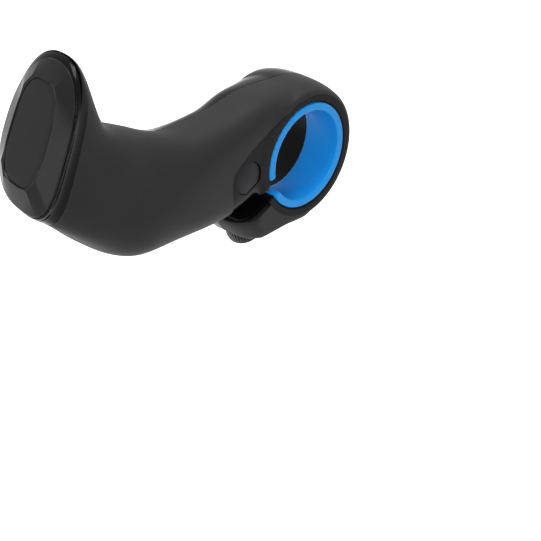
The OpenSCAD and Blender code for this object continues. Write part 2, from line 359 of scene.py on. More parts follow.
@dataclass
class Horn:
    """The arm's surface: superellipse sections carried along a Catmull-Rom path.

    A section is its centre x, y, z, half width, half height, roundness, corner roundness, egg, skew, yaw, pitch and
    roll. A point of it is x = w u (1 + egg v) and z = h v (1 + skew u below the middle), where u and v are cos a and
    sin a raised to 2 / roundness.
    """

    stations: Array = field(
        default_factory=lambda: np.array(
            [
                [0, 1.0, 6.0, 9.0, 11.0, 3.4, 3.2, 0, 0, 0, 0, 0],
                [0, -12, 6.9, 9.3, 11.3, 3.1, 3.5, 0, 0, 0, 0, 0],
                [0.2, -24, 4.3, 9.3, 12.7, 2.9, 2.8, 0, 0, 0, 4, 0],
                [-1.46, -37.9, 4.1, 10.45, 13.0, 2.5, 2.4, 0, 0, 0, 10, 5],
                [-3.47, -50.0, 6.4, 10.45, 14.6, 2.4, 2.6, 0.05, 0.05, 0, 18, 16],
                [-7.3, -59.1, 10.7, 11.56, 13.5, 2.3, 3.2, 0.1, 0.15, 0, 20, 18],
                [-12.0, -65, 24.0, 12.55, 18.2, 2.6, 4.2, -0.04, 0.1, -11, 23, 5],
                [-11.2, -68.8, 26.2, 12.3, 17.6, 2.3, 3.6, -0.04, 0.1, -13, 24, 5],
            ]
        )
    )
    skin: float = 1.6
    pieces: int = 16
    seam_places: tuple[float, ...] = (0, 1, 2, 2.8, 3.2, 3.6, 4.0, 4.4, 4.85, 5.2, 6.0)
    seam_angles: tuple[float, ...] = (91.2, 96, 101, 100, 90, 84, 83, 90, 100, 108, 112)

    def __post_init__(self) -> None:
        """Works out the fine sections and their axes."""
        self.fine = self.sections(np.linspace(0, 7, 7 * self.pieces + 1))
        self.axes = self.section_axes(self.fine)

    def sections(self, t: Array) -> Array:
        """Sections at places t from 0, in the clamp, to 7, at the rim.

        Args:
            t: Places along the arm, one unit to a station.

        Returns:
            Rows of twelve numbers: half of 2 q + (r - p) k + (2 p - 5 q + 4 r - s) k2 + (3 q - p - 3 r + s) k3.
        """
        i = np.clip(t.astype(int), 0, 6)
        k = (t - i)[:, None]
        p, q, r, s = (self.stations[np.clip(i + n, 0, 7)] for n in (-1, 0, 1, 2))
        return 0.5 * (2 * q + (r - p) * k + (2 * p - 5 * q + 4 * r - s) * k**2 + (3 * q - p - 3 * r + s) * k**3)

    @staticmethod
    def section_axes(rows: Array) -> tuple[Array, Array, Array]:
        """Each section's width axis, height axis and outward normal, from its roll, pitch and yaw."""
        yaw, pitch, roll = np.radians(rows[:, 9:12]).T

        def turn(x: Array, y: Array, z: Array) -> Array:
            """Roll about Y, then pitch about X, then yaw about Z."""
            x, z = x * np.cos(roll) - z * np.sin(roll), x * np.sin(roll) + z * np.cos(roll)
            y, z = y * np.cos(pitch) + z * np.sin(pitch), -y * np.sin(pitch) + z * np.cos(pitch)
            return np.stack([x * np.cos(yaw) - y * np.sin(yaw), x * np.sin(yaw) + y * np.cos(yaw), z], -1)

        one, none = np.ones(len(rows)), np.zeros(len(rows))
        return turn(one, none, none), turn(none, none, one), turn(none, -one, none)

    @staticmethod
    def outline(row: Array, angle: Array, grow: float = 0.0) -> tuple[Array, Array]:
        """Local x and z of a section's outline at angles in radians, grown outwards by grow."""
        c, s = np.cos(angle), np.sin(angle)
        n = np.where((c > 0) & (s < 0), row[..., 6], row[..., 5])
        u, v = np.sign(c) * np.abs(c) ** (2 / n), np.sign(s) * np.abs(s) ** (2 / n)
        x = (row[..., 3] + grow) * u * (1 + row[..., 7] * v)
        z = (row[..., 4] + grow) * v * np.where(v < 0, 1 + row[..., 8] * u, 1)
        return x, z

    def rings(self, rows: Array, angle: Array, grow: float = 0.0, clip: float | None = None) -> Array:
        """Rings of points round sections: centre + x width axis + z height axis, no further than clip along X."""
        width, height, _ = self.section_axes(rows)
        x, z = self.outline(rows[:, None, :], angle, grow)
        points = rows[:, None, :3] + x[..., None] * width[:, None] + z[..., None] * height[:, None]
        if clip is not None:
            points[..., 0] = np.minimum(points[..., 0], clip)
        return points

    def cover_angles(self, t: Array, count: int) -> Array:
        """Angles under rubber: from -92 to -160 degrees below, and above the line of seam_places and seam_angles."""
        w = np.clip(t / 6, 0, 1) ** 1.2
        high = np.interp(t, self.seam_places, self.seam_angles)
        high = np.convolve(np.pad(high, 3, "edge"), np.ones(7) / 7, "valid")[:, None]
        low = (-92 - 68 * w)[:, None]
        return np.radians(low + (high - low) * np.linspace(0, 1, count)[None, :])

    def cover(self, margin: float) -> Surface:
        """The sector of the arm that rubber covers, from near each section's middle to beyond its surface.

        Args:
            margin: How much wider the sector is than the rubber, in mm.

        Returns:
            A folded tube.
        """
        t = np.linspace(0, 6, 61)
        rows = self.sections(t)
        angle = self.cover_angles(t, 60)
        angle = angle + margin / rows[:, 3:4] * np.linspace(-1, 1, angle.shape[1])[None, :]
        outer = self.rings(rows, angle, 5.0)
        inner = rows[:, None, :3] + (outer - rows[:, None, :3]) * 0.25
        rings = np.concatenate([outer, inner[:, ::-1]], 1)
        rings[-1] += self.section_axes(rows)[2][-1] * margin
        return Surface.folded_tube(rings)

    def solid(self, grow: float, clip: float, last: float = 7.0) -> Surface:
        """The arm as a closed tube, grown outwards and clipped along X."""
        rows = self.sections(np.linspace(0, last, 71))
        angle = np.linspace(0, 2 * np.pi, 96, endpoint=False)[None, :]
        return Surface.tube(self.rings(rows, angle, grow, clip))

    def field(self, points: Array) -> Array:
        """How far points lie outside the arm, in mm, negative inside.

        The section through a point is where its distance to the section planes changes sign, nearest the closest
        centre. There, g = (|u|^n + |v|^n)^(1/n), and the distance is about |p| (1 - 1 / g).

        Args:
            points: Points in mm.

        Returns:
            One number for each point.
        """
        width, height, normal = self.axes
        rows = self.fine
        plane = points @ normal.T - np.einsum("ij,ij->i", rows[:, :3], normal)[None]
        gap = ((points[:, None] - rows[None, ::4, :3]) ** 2).sum(-1)
        near = gap.argmin(1) * 4
        change = (plane[:, :-1] > 0) & (plane[:, 1:] <= 0)
        away = np.where(change, np.abs(np.arange(len(rows) - 1)[None] - near[:, None]), 10_000)
        j = away.argmin(1)
        pick = np.arange(len(points))
        ahead = plane[:, -1] > 0
        behind = plane[:, 0] <= 0
        none = ~change.any(1)
        j = np.where(none & ahead, len(rows) - 2, np.where(none & behind, 0, np.where(none, near, j)))
        j = np.clip(j, 0, len(rows) - 2)
        here, there = plane[pick, j], plane[pick, j + 1]
        k = np.clip(here / np.where(np.abs(here - there) < 1e-9, 1e-9, here - there), 0, 1)
        row = rows[j] * (1 - k[:, None]) + rows[j + 1] * k[:, None]
        x = np.einsum("ij,ij->i", points - row[:, :3], unit(width[j] * (1 - k[:, None]) + width[j + 1] * k[:, None]))
        z = np.einsum("ij,ij->i", points - row[:, :3], unit(height[j] * (1 - k[:, None]) + height[j + 1] * k[:, None]))
        u, v = x / row[:, 3], z / row[:, 4]
        for _ in range(4):
            v = z / (row[:, 4] * np.where(v < 0, 1 + row[:, 8] * np.clip(u, -1, 1), 1))
            u = x / (row[:, 3] * (1 + row[:, 7] * np.clip(v, -1, 1)))
        n = np.where((u > 0) & (v < 0), row[:, 6], row[:, 5])
        g = (np.abs(u) ** n + np.abs(v) ** n) ** (1 / n)
        size = np.hypot(x, z)
        side = size * (1 - 1 / np.maximum(g, 0.05))
        return np.where(plane[:, 0] < 0, np.maximum(side, -plane[:, 0]), side)

    def beyond_rim(self, points: Array) -> Array:
        """Signed distance past the horn's end plane."""
        return (points - self.fine[-1, :3]) @ self.axes[2][-1]

    def at_rim(self) -> Array:
        """Axes of the horn's end: x its width, y its height, z outwards."""
        place = np.eye(4)
        for column, axis in enumerate((self.axes[0][-1], self.axes[1][-1], self.axes[2][-1])):
            place[:3, column] = axis
        place[:3, 3] = self.fine[-1, :3]
        return place


HORN = Horn()
SIDE_FACE = [
    (2, 14.9, 0), (-8, 13.5, 8), (-19, 9.2, 12), (-25.9, 5, 4),
    (-26, 0.5, 6), (-24.6, -7, 0), (-10, -7, 0), (2, 0, 0),
]


def jaw_corners(inset: float = 0.0) -> Array:
    """Corners of the jaw's side outline in the bolt's axes, (t, s), pulled in by inset on its outer sides."""
    z = SIZES
    return np.array(
        [
            (5, z.jaw_top), (z.jaw_reach - inset, z.jaw_top), (z.jaw_reach - inset, z.jaw_top + z.jaw_thick / 2),
            (z.jaw_reach - 2 - inset, z.jaw_top + z.jaw_thick - inset), (6.4, z.crown_radius - 1.4 - inset),
            (4, z.bore_radius - 1),
        ]
    )


def slit_room(margin: float) -> Surface:
    """The slit between arm and jaw, wider by margin near the jaw, where the rubber stops short of it."""
    z = SIZES
    outline = np.array(
        [
            (6, z.slit_top - margin), (24.5, z.slit_top - margin), (24.5, z.slit_top), (36, z.slit_top),
            (36, z.jaw_top), (24.5, z.jaw_top), (24.5, z.jaw_top + margin), (6, z.jaw_top + margin),
        ],
        float,
    )
    return prism(outline, -3 * z.half_width, 3 * z.half_width).moved(z.bolt_frame())


# The moulding that frame and skin share


@dataclass
class Moulding:
    """Outer form of ring, jaw and arm as one blended blank, and the rooms that are cut from it."""

    voxel: float = 0.45
    arm_fillet: float = 2.5
    top_fillet: float = 0.3
    jaw_fillet: float = 2.0
    edge: float = 0.9
    rim_edge: float = 0.8
    skin: float = 1.2
    seam: float = 0.08
    jaw_corner: float = 2.1
    core_round: float = 4.4
    neck_line: tuple[tuple[float, float, float], ...] = ((-11.0, -53.6, 17.4), (-3.0, -53.6, 18.0))
    neck_radius: float = 4.0
    neck_fillet: float = 8.0
    eased_places: tuple[tuple[float, ...], ...] = ((-6, -53, 21, 9), (-8.5, -11, 12, 5))
    eased_rounds: int = 80
    jaw_round: tuple[float, ...] = (0.0, 2.6, 2.5, 2.0, 1.8, 1.8)

    @staticmethod
    def crown(x: Array) -> Array:
        """Outer radius of the ring at x: 17.15 less 1.4 times the cube of |x| / 9."""
        return SIZES.crown_radius - SIZES.crown_drop * np.minimum(np.abs(x) / SIZES.half_width, 1.0) ** 3

    def jaw_field(self, p: Array) -> Array:
        """Distance outside the jaw: the largest of its side planes' distances, rounded where they meet."""
        z = SIZES
        axes = z.bolt_frame()
        x, t, s = p[:, 0], p @ axes[:3, 1], p @ axes[:3, 2]
        corners = jaw_corners()
        side = unit(np.roll(corners, -1, 0) - corners)
        planes = (t[:, None] - corners[:, 0]) * side[:, 1] - (s[:, None] - corners[:, 1]) * side[:, 0]
        whole = planes[:, 0]
        for k in range(1, len(corners)):
            whole = smooth_max(whole, planes[:, k], self.jaw_round[k])
        for side in (-1, 1):
            corner = (t - z.jaw_reach + side * x - z.half_width) / np.sqrt(2) + self.jaw_corner
            whole = smooth_max(whole, corner, 3.5)
        return smooth_max(whole, -p[:, 2] - self.crown(x), 1.0)

    def neck_field(self, p: Array) -> Array:
        """Distance outside a round bar under the neck's fold: |p - a - (b - a) k| - radius, k kept within 0 to 1."""
        a, b = np.array(self.neck_line)
        k = np.clip((p - a) @ (b - a) / ((b - a) @ (b - a)), 0, 1)[:, None]
        return np.linalg.norm(p - a - (b - a) * k, axis=1) - self.neck_radius

    def field(self, p: Array) -> Array:
        """Distance outside the whole moulding, in mm.

        Args:
            p: Points in mm.

        Returns:
            The smooth union of ring, jaw and arm, cut by the near side's plane. The fillet between clamp and arm
            grows along the arm, because the two are nearly tangent on top of the ring.
        """
        x = p[:, 0]
        ring = np.hypot(p[:, 1], p[:, 2]) - self.crown(x)
        clamp = smooth_max(smooth_min(ring, self.jaw_field(p), self.jaw_fillet), -x - SIZES.half_width, self.edge)
        arm = smooth_min(HORN.field(p), self.neck_field(p), self.neck_fillet)
        arm = smooth_max(arm, HORN.beyond_rim(p), self.rim_edge)
        away = np.clip((-p[:, 1] - 1) / 7, 0, 1)
        fillet = self.top_fillet + (self.arm_fillet - self.top_fillet) * away**2 * (3 - 2 * away)
        whole = smooth_min(clamp, arm, fillet)
        return smooth_max(whole, x - SIZES.half_width, self.edge)

    def blank(self) -> bpy.types.Object:
        """The moulding before anything is cut: joined solids, remeshed, and drawn onto the field's zero.

        Each step moves a point p to p - f g / |g|2, with the gradient g taken by differences of 0.05 mm.
        """
        z = SIZES
        x = np.linspace(-z.half_width, z.half_width, 25)
        disc = turned_about_bar(np.stack([self.crown(x), x], -1), 120).transpose(1, 0, 2)
        jaw = prism(jaw_corners(), -z.half_width, z.half_width).moved(z.bolt_frame())
        parts = [Surface.tube(disc), jaw, HORN.solid(0, z.half_width)]
        start = np.cumsum([0] + [len(part.points) for part in parts])
        whole = Surface(
            np.vstack([part.points for part in parts]),
            [faces + at for part, at in zip(parts, start) for faces in part.faces],
        ).mesh("blank")
        remesh = whole.modifiers.new("remesh", "REMESH")
        remesh.mode = "VOXEL"
        remesh.voxel_size = self.voxel
        applied(whole)
        p = np.empty(len(whole.data.vertices) * 3, np.float32)
        whole.data.vertices.foreach_get("co", p)
        p = p.reshape(-1, 3).astype(float)
        for _ in range(4):
            f = self.field(p)
            g = np.stack([(self.field(p + step) - f) / 0.05 for step in np.eye(3) * 0.05], -1)
            move = f[:, None] * g / np.maximum((g**2).sum(-1, keepdims=True), 0.25)
            p -= np.clip(move, -0.6, 0.6)
        edges = np.empty(len(whole.data.edges) * 2, np.int32)
        whole.data.edges.foreach_get("vertices", edges)
        p = self.eased(p, edges.reshape(-1, 2))
        whole.data.vertices.foreach_set("co", p.astype(np.float32).ravel())
        whole.data.update()
        return whole

    def eased(self, p: Array, edges: Array) -> Array:
        """Softens the folds at the neck and behind the ring, where sections lie close together.

        Args:
            p: Points of the blank.
            edges: Pairs of joined points.

        Returns:
            The points, moved again and again towards the mean of their neighbours, by half of a weight that falls
            off as exp(-(distance / reach)2) from each place.
        """
        weight = np.zeros(len(p))
        for *place, reach in self.eased_places:
            weight = np.maximum(weight, np.exp(-((p - place) ** 2).sum(1) / reach**2))
        ends = np.concatenate([edges, edges[:, ::-1]])
        count = np.bincount(ends[:, 0], minlength=len(p))[:, None]
        for _ in range(self.eased_rounds):
            mean = np.stack([np.bincount(ends[:, 0], p[ends[:, 1], n], len(p)) for n in range(3)], -1) / count
            p = p + 0.5 * weight[:, None] * (mean - p)
        return p

    @staticmethod
    def bar_room() -> Surface:
        """The bore, with its chamfered mouths."""
        z = SIZES
        mouth = z.bore_radius + 1.5
        profile = np.array([[mouth, -10], [z.bore_radius, -8.5], [z.bore_radius, 8.5], [mouth, 10]])
        return Surface.tube(turned_about_bar(profile, 240).transpose(1, 0, 2))

    @staticmethod
    def disc_room(profile: Array) -> Surface:
        """A solid turned about the bar from (radius, x) points, filled in to the axis."""
        return Surface.tube(turned_about_bar(profile, 240).transpose(1, 0, 2))

    @staticmethod
    def bolt_room() -> Surface:
        """The bolt's hole, and the round seat under its head."""
        z = SIZES
        profile = np.array([[2.75, z.nut_place - 5], [2.75, z.seat], [4.75, z.seat], [4.75, 22]])
        return Surface.tube(disc_rings(profile)).moved(z.at_bolt())

    @staticmethod
    def nut_room() -> Surface:
        """The barrel nut's pocket: round, with a flat towards the bolt's head, open on the near side."""
        z = SIZES
        return nut_prism(0.1, -5.4, 12.0)

    def side_room(self, depth: float = 3.0) -> Surface:
        """The block behind the frame's bare side face."""
        return prism(rounded_corners(SIDE_FACE), SIZES.half_width - depth, SIZES.half_width + 2)

    def core_corners(self) -> list[tuple[float, float, float]]:
        """The jaw's side outline inside its rubber, with a radius for each corner."""
        return [(t, s, r) for (t, s), r in zip(jaw_corners(self.skin), (0, 1.5, 1.5, 2.0, 0, 0))]

    def skin_room(self, margin: float) -> bpy.types.Object:
        """All that is rubber, reaching out past the surface.

        Args:
            margin: How far its walls stand outside the rubber's edge, in mm.

        Returns:
            The sectors of arm and clamp that are covered, less the harder inside and the bare side face.
        """
        z = SIZES
        box = np.array([[z.band_x - margin, -7], [12, -7], [12, 26], [z.band_x - margin, 26]], float)
        room = prism(box, -32, 24, across=True).mesh("skin room")
        jaw = prism(
            np.array([[z.band_x - margin, 3], [12, 3], [12, 28], [z.band_x - margin, 28]], float), 0, 20, across=True
        ).moved(z.bolt_frame())
        carve(room, jaw, Cut.JOIN)
        carve(room, HORN.cover(margin), Cut.JOIN)
        rim = z.half_width - 1
        inside = np.array([[z.seat_radius, -20], [z.seat_radius, rim], [z.rim_radius, rim], [z.rim_radius, 20]])
        carve(room, self.disc_room(inside))
        carve(room, HORN.solid(-HORN.skin, z.half_width - HORN.skin))
        core = prism(rounded_corners(self.core_corners()), -12, z.half_width - self.skin).moved(z.bolt_frame()).mesh("core")
        edge_x, edge_t = z.half_width - self.skin, z.jaw_reach - self.skin
        plan = [(-12, 0, 0), (edge_x, 0, 0), (edge_x, edge_t, self.core_round), (-12, edge_t, 0)]
        carve(core, prism(rounded_corners(plan), -5, 25, across=True).moved(z.bolt_frame()), Cut.KEEP)
        carve(room, core)
        return carve(room, self.side_room())


def nut_prism(grow: float, low: float, high: float) -> Surface:
    """The barrel nut's outline, a circle cut by a flat, carried along the bar."""
    z = SIZES
    a = np.linspace(0, 2 * np.pi, 96, endpoint=False)
    flat = np.minimum((4 + grow) * np.sin(a), 3.4 + grow)
    outline = np.stack([(4 + grow) * np.cos(a) + z.bolt_reach, flat + z.nut_place], -1)
    return prism(outline, low, high).moved(z.bolt_frame())


# Finishes


def linear(code: str) -> tuple[float, float, float, float]:
    """The linear colour of an sRGB hex code."""
    c = np.array([int(code[i : i + 2], 16) for i in (1, 3, 5)]) / 255
    return (*np.where(c <= 0.04045, c / 12.92, ((c + 0.055) / 1.055) ** 2.4).tolist(), 1.0)


def add(tree: bpy.types.NodeTree, kind: str, links: dict[str | int, object] | None = None, **settings: object) -> bpy.types.Node:
    """Adds a node.

    Args:
        tree: The node tree.
        kind: The node's type name, without its prefix.
        links: Input name or number, with the output socket or the value that it gets.
        settings: Properties of the node.

    Returns:
        The node.
    """
    node = tree.nodes.new("ShaderNode" + kind)
    for name, value in settings.items():
        setattr(node, name, value)
    for name, value in (links or {}).items():
        if isinstance(value, bpy.types.NodeSocket):
            tree.links.new(value, node.inputs[name])
        else:
            node.inputs[name].default_value = value
    return node


def begin(name: str) -> tuple[bpy.types.Material, bpy.types.NodeTree, bpy.types.NodeSocket]:
    """A new material with only an output, its tree, and the object's coordinates in millimetres."""
    material = bpy.data.materials.new(name)
    material.use_nodes = True
    tree = material.node_tree
    tree.nodes.clear()
    place = add(tree, "TexCoord")
    scaled = add(tree, "VectorMath", {0: place.outputs["Object"], 1: (1000, 1000, 1000)}, operation="MULTIPLY")
    return material, tree, scaled.outputs[0]


def end(tree: bpy.types.NodeTree, links: dict[str | int, object]) -> None:
    """Closes a material with a Principled shader."""
    shader = add(tree, "BsdfPrincipled", links)
    add(tree, "OutputMaterial", {"Surface": shader.outputs[0]})


def grain(tree: bpy.types.NodeTree, place: bpy.types.NodeSocket, size: float, detail: float = 2.0) -> bpy.types.NodeSocket:
    """Noise whose bumps are about size millimetres apart."""
    return add(tree, "TexNoise", {"Vector": place, "Scale": 1 / size, "Detail": detail, "Roughness": 0.5}).outputs["Fac"]


def ranged(tree: bpy.types.NodeTree, value: bpy.types.NodeSocket, low: float, high: float, a: float, b: float) -> bpy.types.NodeSocket:
    """value taken from low..high to a..b, and kept there."""
    return add(tree, "MapRange", {0: value, 1: low, 2: high, 3: a, 4: b}).outputs[0]


def bumped(tree: bpy.types.NodeTree, height: bpy.types.NodeSocket, depth: float, before: object = None) -> bpy.types.NodeSocket:
    """A normal bumped by height, which is depth millimetres high."""
    links = {"Height": height, "Distance": depth * MM, "Strength": 1.0}
    if before is not None:
        links["Normal"] = before
    return add(tree, "Bump", links).outputs[0]


@dataclass(frozen=True)
class MouldedNylon:
    """Glass-filled nylon, injection moulded: polished where bare, spark-eroded on the clamp's near face."""

    slot: str = "nylon_frame"
    colour: str = "#0a0a0b"
    polished: float = 0.14
    textured: float = 0.52

    def material(self) -> bpy.types.Material:
        """Deep black with a sharp shine, and a dull face towards the bar's open end."""
        material, tree, place = begin("moulded glass-filled nylon")
        x = add(tree, "SeparateXYZ", {0: place}).outputs[0]
        face = ranged(tree, x, 8.2, 8.9, 0, 1)
        # The spark texture is 0.05 mm wide on the tool. It is drawn at 0.35 mm, because it would not show.
        spark = grain(tree, place, 0.35)
        # Flow of the fibres under a polished skin, a few millimetres long
        flow = grain(tree, place, 3.0)
        shine = ranged(tree, flow, 0.3, 0.7, self.polished, self.polished + 0.06)
        rough = add(tree, "Mix", {0: face, 2: shine, 3: self.textured}).outputs[0]
        colour = add(tree, "Mix", {0: face, 6: linear(self.colour), 7: linear("#0d0d0e")}, data_type="RGBA").outputs[2]
        height = add(tree, "Math", {0: spark, 1: face}, operation="MULTIPLY").outputs[0]
        wave = bumped(tree, flow, 0.012)
        end(
            tree,
            {
                "Base Color": colour,
                "Roughness": rough,
                "IOR": 1.53,
                "Specular IOR Level": 0.07,
                "Normal": bumped(tree, height, 0.03, wave),
            },
        )
        return material


@dataclass(frozen=True)
class OvermouldedRubber:
    """Thermoplastic rubber, moulded over the frame in a fine-etched tool."""

    slot: str = "soft_rubber"
    colour: str = "#161617"
    rough: float = 0.62

    def material(self) -> bpy.types.Material:
        """A dark grey that spreads the light, with a grain that just breaks up the shine."""
        material, tree, place = begin("overmoulded thermoplastic rubber")
        # The etched grain is 0.1 mm wide. It is drawn at 0.3 mm to show at all.
        etched = grain(tree, place, 0.3, 3.0)
        # Handling and flow leave slow changes of sheen, about 9 mm across
        cloud = grain(tree, place, 9.0)
        tint = ranged(tree, cloud, 0.3, 0.7, 0, 1)
        colour = add(tree, "Mix", {0: tint, 6: linear(self.colour), 7: linear("#19191a")}, data_type="RGBA").outputs[2]
        end(
            tree,
            {
                "Base Color": colour,
                "Roughness": ranged(tree, cloud, 0.3, 0.7, self.rough - 0.03, self.rough + 0.04),
                "IOR": 1.5,
                "Specular IOR Level": 0.2,
                "Sheen Weight": 0.04,
                "Sheen Roughness": 0.5,
                "Normal": bumped(tree, etched, 0.035),
            },
        )
        return material


@dataclass(frozen=True)
class SleevePlastic:
    """Acetal, injection moulded in blue with a satin tool."""

    slot: str = "sleeve_plastic"
    colour: str = "#1a9bf0"
    rough: float = 0.36

    def material(self) -> bpy.types.Material:
        """An even, slightly milky blue with a soft shine."""
        material, tree, place = begin("moulded blue acetal")
        satin = grain(tree, place, 0.4)
        cloud = grain(tree, place, 6.0)
        tint = ranged(tree, cloud, 0.3, 0.7, 0, 1)
        colour = add(tree, "Mix", {0: tint, 6: linear(self.colour), 7: linear("#209ff6")}, data_type="RGBA").outputs[2]
        end(
            tree,
            {
                "Base Color": colour,
                "Roughness": ranged(tree, cloud, 0.3, 0.7, self.rough, self.rough + 0.05),
                "IOR": 1.48,
                "Specular IOR Level": 0.2,
                "Normal": bumped(tree, satin, 0.008),
            },
        )
        return material


class Coating(Enum):
    """Dark coatings on steel: colour, colour where worn, roughness and width of the grain in mm."""

    PHOSPHATE = ("phosphated steel", "#242426", "#2a2a2c", 0.55, 0.25)
    OXIDE = ("black oxide steel", "#111114", "#18181b", 0.34, 0.4)
    WASHER_OXIDE = ("black oxide washer steel", "#1e1e21", "#242427", 0.42, 0.4)


@dataclass(frozen=True)
class CoatedSteel:
    """Turned or headed steel under a thin dark conversion coating."""

    slot: str
    coating: Coating

    def material(self) -> bpy.types.Material:
        """A dim metal shine, with the coating's own fine crystals."""
        name, code, worn_code, rough, width = self.coating.value
        material, tree, place = begin(name)
        crystal = grain(tree, place, width, 3.0)
        worn = grain(tree, place, 2.5)
        tint = ranged(tree, worn, 0.35, 0.75, 0, 1)
        colour = add(tree, "Mix", {0: tint, 6: linear(code), 7: linear(worn_code)}, data_type="RGBA").outputs[2]
        end(
            tree,
            {
                "Base Color": colour,
                "Metallic": 1.0,
                "Roughness": ranged(tree, crystal, 0.3, 0.7, rough - 0.05, rough + 0.08),
                "Normal": bumped(tree, crystal, 0.012),
            },
        )
        return material


@dataclass(frozen=True)
class CapPlastic:
    """Acrylonitrile butadiene styrene, moulded: satin on the cap, etched on its plate."""

    name: str
    slot: str
    colour: str
    rough: float
    grain_width: float
    depth: float

    def material(self) -> bpy.types.Material:
        """A hard dark plastic whose bevels take the light as flat bands."""
        material, tree, place = begin(self.name)
        fine = grain(tree, place, self.grain_width)
        cloud = grain(tree, place, 5.0)
        end(
            tree,
            {
                "Base Color": linear(self.colour),
                "Roughness": ranged(tree, cloud, 0.3, 0.7, self.rough - 0.02, self.rough + 0.04),
                "IOR": 1.54,
                "Specular IOR Level": 0.16,
                "Normal": bumped(tree, fine, self.depth),
            },
        )
        return material


Finish = MouldedNylon | OvermouldedRubber | SleevePlastic | CoatedSteel | CapPlastic


def place_piece(piece: bpy.types.Object, name: str, node: str, body: Body, finish: Finish) -> bpy.types.Object:
    """Names, dresses and hands over a finished piece.

    Args:
        piece: The piece, in metres.
        name: Its name.
        node: The CAD node that it stands for.
        body: The body that it rides on.
        finish: Its finish.

    Returns:
        The piece.
    """
    piece.name = name
    piece.data.name = name
    piece.data.materials.clear()
    piece.data.materials.append(finish.material())
    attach(piece, body.value)
    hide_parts(node)
    return piece


# The pieces


@dataclass
class Frame:
    """The nylon frame and the rubber skin over it, both cut from one blank."""

    moulding: Moulding = field(default_factory=Moulding)
    slit_rim: float = 1.2
    plug_depth: float = 3.0
    lip: float = 1.3

    def build(self) -> list[bpy.types.Object]:
        """Cuts the blank into core_frame and rubber_skin."""
        z = SIZES
        mould = self.moulding
        nylon = mould.blank()
        rubber = copied(nylon, "rubber")
        carve(rubber, mould.skin_room(0.0), Cut.KEEP)
        carve(rubber, slit_room(self.slit_rim))
        carve(rubber, mould.bolt_room())
        carve(nylon, mould.skin_room(mould.seam))
        carve(nylon, mould.bar_room())
        carve(nylon, mould.disc_room(np.array([[z.bore_radius + 0.6, -1.4], [z.bore_radius + 0.6, 1.0]])))
        carve(nylon, slit_room(0.0))
        carve(nylon, mould.bolt_room())
        carve(nylon, mould.nut_room())
        carve(nylon, self.end_room())
        carve(nylon, self.rim_groove())
        return [
            place_piece(finished(mended(nylon)), "core_frame_body", "core_frame", Body.FRAME, MouldedNylon()),
            place_piece(finished(mended(rubber)), "rubber_skin_body", "rubber_skin", Body.FRAME, OvermouldedRubber()),
        ]

    def rim_groove(self) -> Surface:
        """A shallow groove round the horn's rim: a four-cornered profile carried along the end's outline."""
        a = np.linspace(0, 2 * np.pi, 160, endpoint=False)
        corners = ((-0.4, -1.35), (1.5, -1.05), (1.5, -2.15), (-0.4, -1.85))
        rings = [
            np.column_stack([*Horn.outline(HORN.stations[-1], a, grow), np.full(len(a), at)]) for grow, at in corners
        ]
        return Surface.loop(np.array(rings).transpose(1, 0, 2)).moved(HORN.at_rim())

    def end_room(self) -> Surface:
        """The shallow pocket in the horn's end that the cap's plug sits in."""
        a = np.linspace(0, 2 * np.pi, 160, endpoint=False)
        x, y = Horn.outline(HORN.stations[-1], a, -self.lip)
        return prism(np.stack([x, y], -1), -self.plug_depth, 1.5, across=True).moved(HORN.at_rim())


@dataclass
class Sleeve:
    """The split sleeve in the clamp's bore."""

    gap_start: float = 188.0
    gap_angle: float = 24.0
    edge: float = 0.35
    end: float = 0.5

    def build(self) -> bpy.types.Object:
        """A rounded profile turned about the bar; near its two ends the profile shrinks as a quarter circle."""
        z = SIZES
        outer = z.sleeve_radius + z.sleeve_wall
        flange = outer + z.flange_height
        back = z.half_width - z.sleeve_length
        profile = rounded_corners(
            [
                (z.sleeve_radius, z.half_width, self.edge), (z.sleeve_radius, back, self.edge),
                (flange, back, 0.2), (flange, back + z.flange_width, 0.15),
                (outer, back + z.flange_width, 0.15), (outer, z.half_width, self.edge),
            ],
            6,
        )
        middle = np.array([(z.sleeve_radius + outer) / 2, 0.0])
        turn = 360 - self.gap_angle
        radius = z.sleeve_radius + z.sleeve_wall / 2
        k = np.sin(np.linspace(0, np.pi / 2, 8))
        first = np.degrees(self.end / radius)
        angle = np.concatenate([first * (1 - k[::-1]), np.linspace(first, turn - first, 240)[1:-1], turn - first * (1 - k)])
        shrink = np.concatenate([np.sqrt(1 - k[::-1] ** 2), np.ones(238), np.sqrt(1 - k**2)])
        inset = self.end * (1 - shrink)
        spread = profile - middle
        scale = 1 - inset[:, None] / np.array([z.sleeve_wall / 2, 0.5 * z.sleeve_length])[None] * np.array([1.0, 0.1])
        rings = middle[None, None] + spread[None] * scale[:, None, :]
        turn_by = np.radians(self.gap_start + self.gap_angle + angle)[:, None]
        points = on_bar(rings[..., 0] * np.cos(turn_by), rings[..., 0] * np.sin(turn_by), rings[..., 1])
        piece = finished(Surface.tube(points).mesh("sleeve"), 45)
        return place_piece(piece, "reducer_sleeve_body", "reducer_sleeve", Body.FRAME, SleevePlastic())


